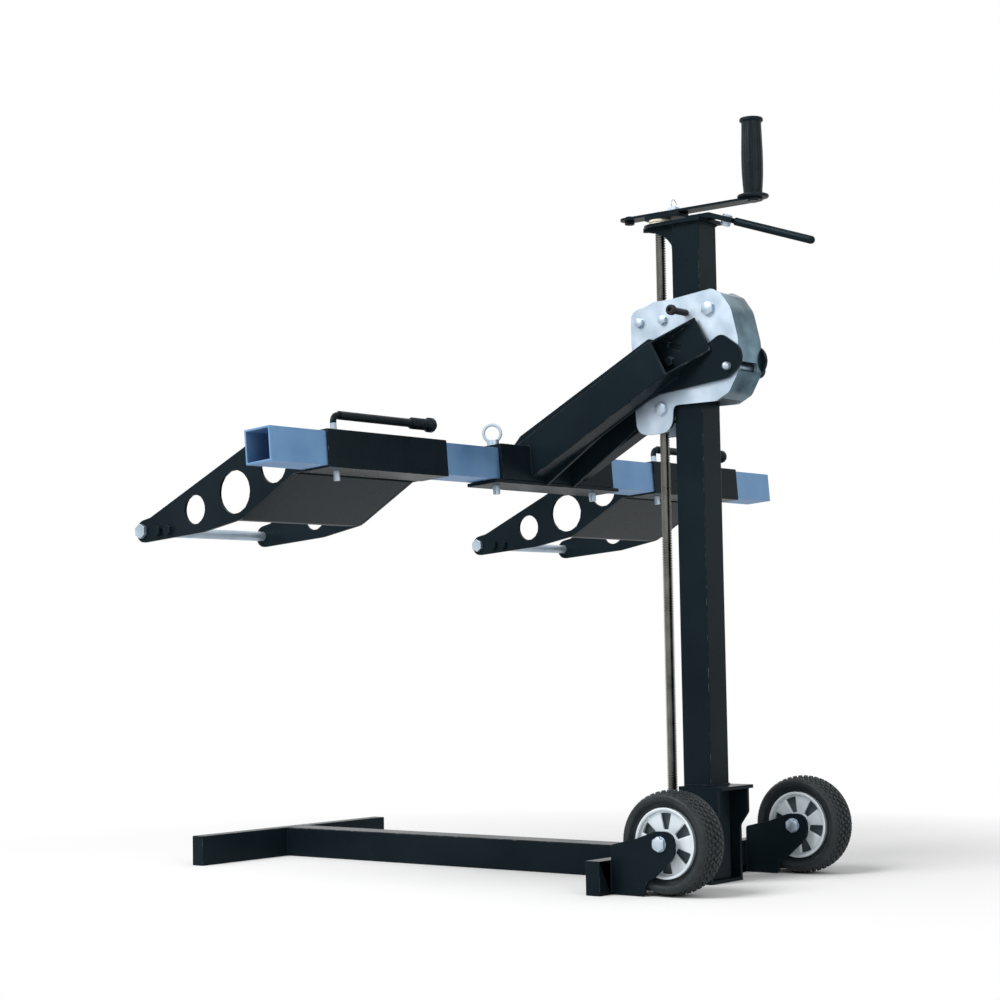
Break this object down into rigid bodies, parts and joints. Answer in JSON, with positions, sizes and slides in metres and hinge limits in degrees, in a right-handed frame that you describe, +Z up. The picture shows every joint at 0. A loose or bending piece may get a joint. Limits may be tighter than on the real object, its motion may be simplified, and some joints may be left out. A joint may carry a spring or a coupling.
{
  "type": "mower lift",
  "caption": "Screw-driven wheeled post lift whose carriage and arm raise a cross tube with two wheel cradles, for working under a ride-on machine",
  "frame": {"origin": "middle of the bounding box's base, on the floor under the lift", "axes": "+Z up; +Y towards the front foot and the raised machine; +X to the right of someone who stands behind the post and faces the machine"},
  "size_m": [1.328, 1.1318, 1.1819],
  "materials": {
    "black_paint": "satin black powder coat",
    "zinc_plate": "bluish bright zinc plate",
    "bright_steel": "bright steel, lightly oiled",
    "brass": "turned brass",
    "tyre_rubber": "matt black tyre rubber",
    "grip_rubber": "matt black rubber",
    "rim_silver": "silver-grey moulded rim",
    "bearing_nylon": "cream thrust washer stack",
    "black_plastic": "matt black plastic"
  },
  "bodies": {
    "frame": {"base_tube": "black_paint", "front_foot": "black_paint", "rear_bar": "black_paint", "post_socket": "black_paint", "screw_foot": "black_paint", "wheel_bolt_left": "zinc_plate", "wheel_bolt_right": "zinc_plate", "post": "black_paint", "top_plate": "black_paint", "thrust_bearing": "bearing_nylon", "handle_strap": "black_paint", "handle_rod": "black_paint", "handle_bolt": "zinc_plate"},
    "wheel_left": {"tyre_left": "tyre_rubber", "rim_left": "rim_silver"},
    "wheel_right": {"tyre_right": "tyre_rubber", "rim_right": "rim_silver"},
    "screw": {"lead_screw": "bright_steel", "crank_hub": "black_paint", "crank_arm": "black_paint", "crank_stop_bolt": "black_paint", "grip_spindle": "bright_steel", "crank_clip": "zinc_plate"},
    "grip": {"crank_grip": "grip_rubber"},
    "carriage": {"carriage_shell": "zinc_plate", "nut_bracket": "zinc_plate", "drive_nut": "brass", "upper_roller_bolt": "zinc_plate", "lower_roller_bolt": "zinc_plate", "bracket_bolt_rear": "zinc_plate", "bracket_bolt_front": "zinc_plate", "arm_web": "black_paint", "arm_cheek_left": "black_paint", "arm_cheek_right": "black_paint", "arm_rail_left": "black_paint", "arm_rail_right": "black_paint", "head_bracket": "black_paint", "head_base_plate": "black_paint", "cross_tube": "zinc_plate", "cradle_sleeve_left": "black_paint", "cradle_plate_outer_left": "black_paint", "cradle_plate_inner_left": "black_paint", "cradle_panel_left": "black_paint", "cradle_rod_left": "zinc_plate", "cradle_sleeve_right": "black_paint", "cradle_plate_outer_right": "black_paint", "cradle_plate_inner_right": "black_paint", "cradle_panel_right": "black_paint", "cradle_rod_right": "zinc_plate"},
    "upper_roller": {"upper_roller": "bright_steel"},
    "lower_roller": {"lower_roller": "bright_steel"},
    "arm_lock_pin": {"arm_lock_pin": "zinc_plate", "arm_pin_knob": "black_plastic"},
    "pull_pin": {"pull_pin": "black_plastic"},
    "ring_pin_left": {"ring_pin_left": "zinc_plate"},
    "ring_pin_right": {"ring_pin_right": "zinc_plate"},
    "cradle_pin_left": {"cradle_pin_left": "zinc_plate", "cradle_grip_left": "grip_rubber"},
    "cradle_pin_right": {"cradle_pin_right": "zinc_plate", "cradle_grip_right": "grip_rubber"}
  },
  "joints": [
    {"name": "screw_turn", "type": "hinge", "parent": "frame", "child": "screw", "pos_m": [0, -0.28309, 0.0561], "axis": [0, 0, 1], "range_deg": [-6750, 46350]},
    {"name": "carriage_lift", "type": "slide", "parent": "frame", "child": "carriage", "axis": [0, 0, 1], "range_m": [-0.5155, 0.0755]},
    {"name": "grip_spin", "type": "hinge", "parent": "screw", "child": "grip", "pos_m": [0, -0.45859, 1.061], "axis": [0, 0, 1], "continuous": true},
    {"name": "upper_roller_turn", "type": "hinge", "parent": "carriage", "child": "upper_roller", "pos_m": [0, -0.39259, 0.887], "axis": [1, 0, 0], "range_deg": [-212.2, 1454.1]},
    {"name": "lower_roller_turn", "type": "hinge", "parent": "carriage", "child": "lower_roller", "pos_m": [0, -0.30059, 0.738], "axis": [1, 0, 0], "range_deg": [-1454.1, 212.2]},
    {"name": "wheel_left_spin", "type": "hinge", "parent": "frame", "child": "wheel_left", "pos_m": [-0.1855, -0.40909, 0.0776], "axis": [1, 0, 0], "continuous": true},
    {"name": "wheel_right_spin", "type": "hinge", "parent": "frame", "child": "wheel_right", "pos_m": [0.1855, -0.40909, 0.0776], "axis": [1, 0, 0], "continuous": true},
    {"name": "arm_lock_pin_pull", "type": "slide", "parent": "carriage", "child": "arm_lock_pin", "axis": [1, 0, 0], "range_m": [0, 0.12]},
    {"name": "pull_pin_pull", "type": "slide", "parent": "carriage", "child": "pull_pin", "axis": [-1, 0, 0], "range_m": [0, 0.01], "stiffness_N_per_m": 400},
    {"name": "ring_pin_left_lift", "type": "slide", "parent": "carriage", "child": "ring_pin_left", "axis": [0, 0.0758, 0.9971], "range_m": [0, 0.08]},
    {"name": "ring_pin_right_lift", "type": "slide", "parent": "carriage", "child": "ring_pin_right", "axis": [0, 0.0758, 0.9971], "range_m": [0, 0.08]},
    {"name": "cradle_pin_left_lift", "type": "slide", "parent": "carriage", "child": "cradle_pin_left", "axis": [0, 0.0758, 0.9971], "range_m": [0, 0.075]},
    {"name": "cradle_pin_right_lift", "type": "slide", "parent": "carriage", "child": "cradle_pin_right", "axis": [0, 0.0758, 0.9971], "range_m": [0, 0.075]}
  ],
  "couplings": [
    {"joint": "carriage_lift", "follows": "screw_turn", "m_per_rad": -0.00063662},
    {"joint": "upper_roller_turn", "follows": "screw_turn", "ratio": 0.031361},
    {"joint": "lower_roller_turn", "follows": "screw_turn", "ratio": -0.031361}
  ]
}
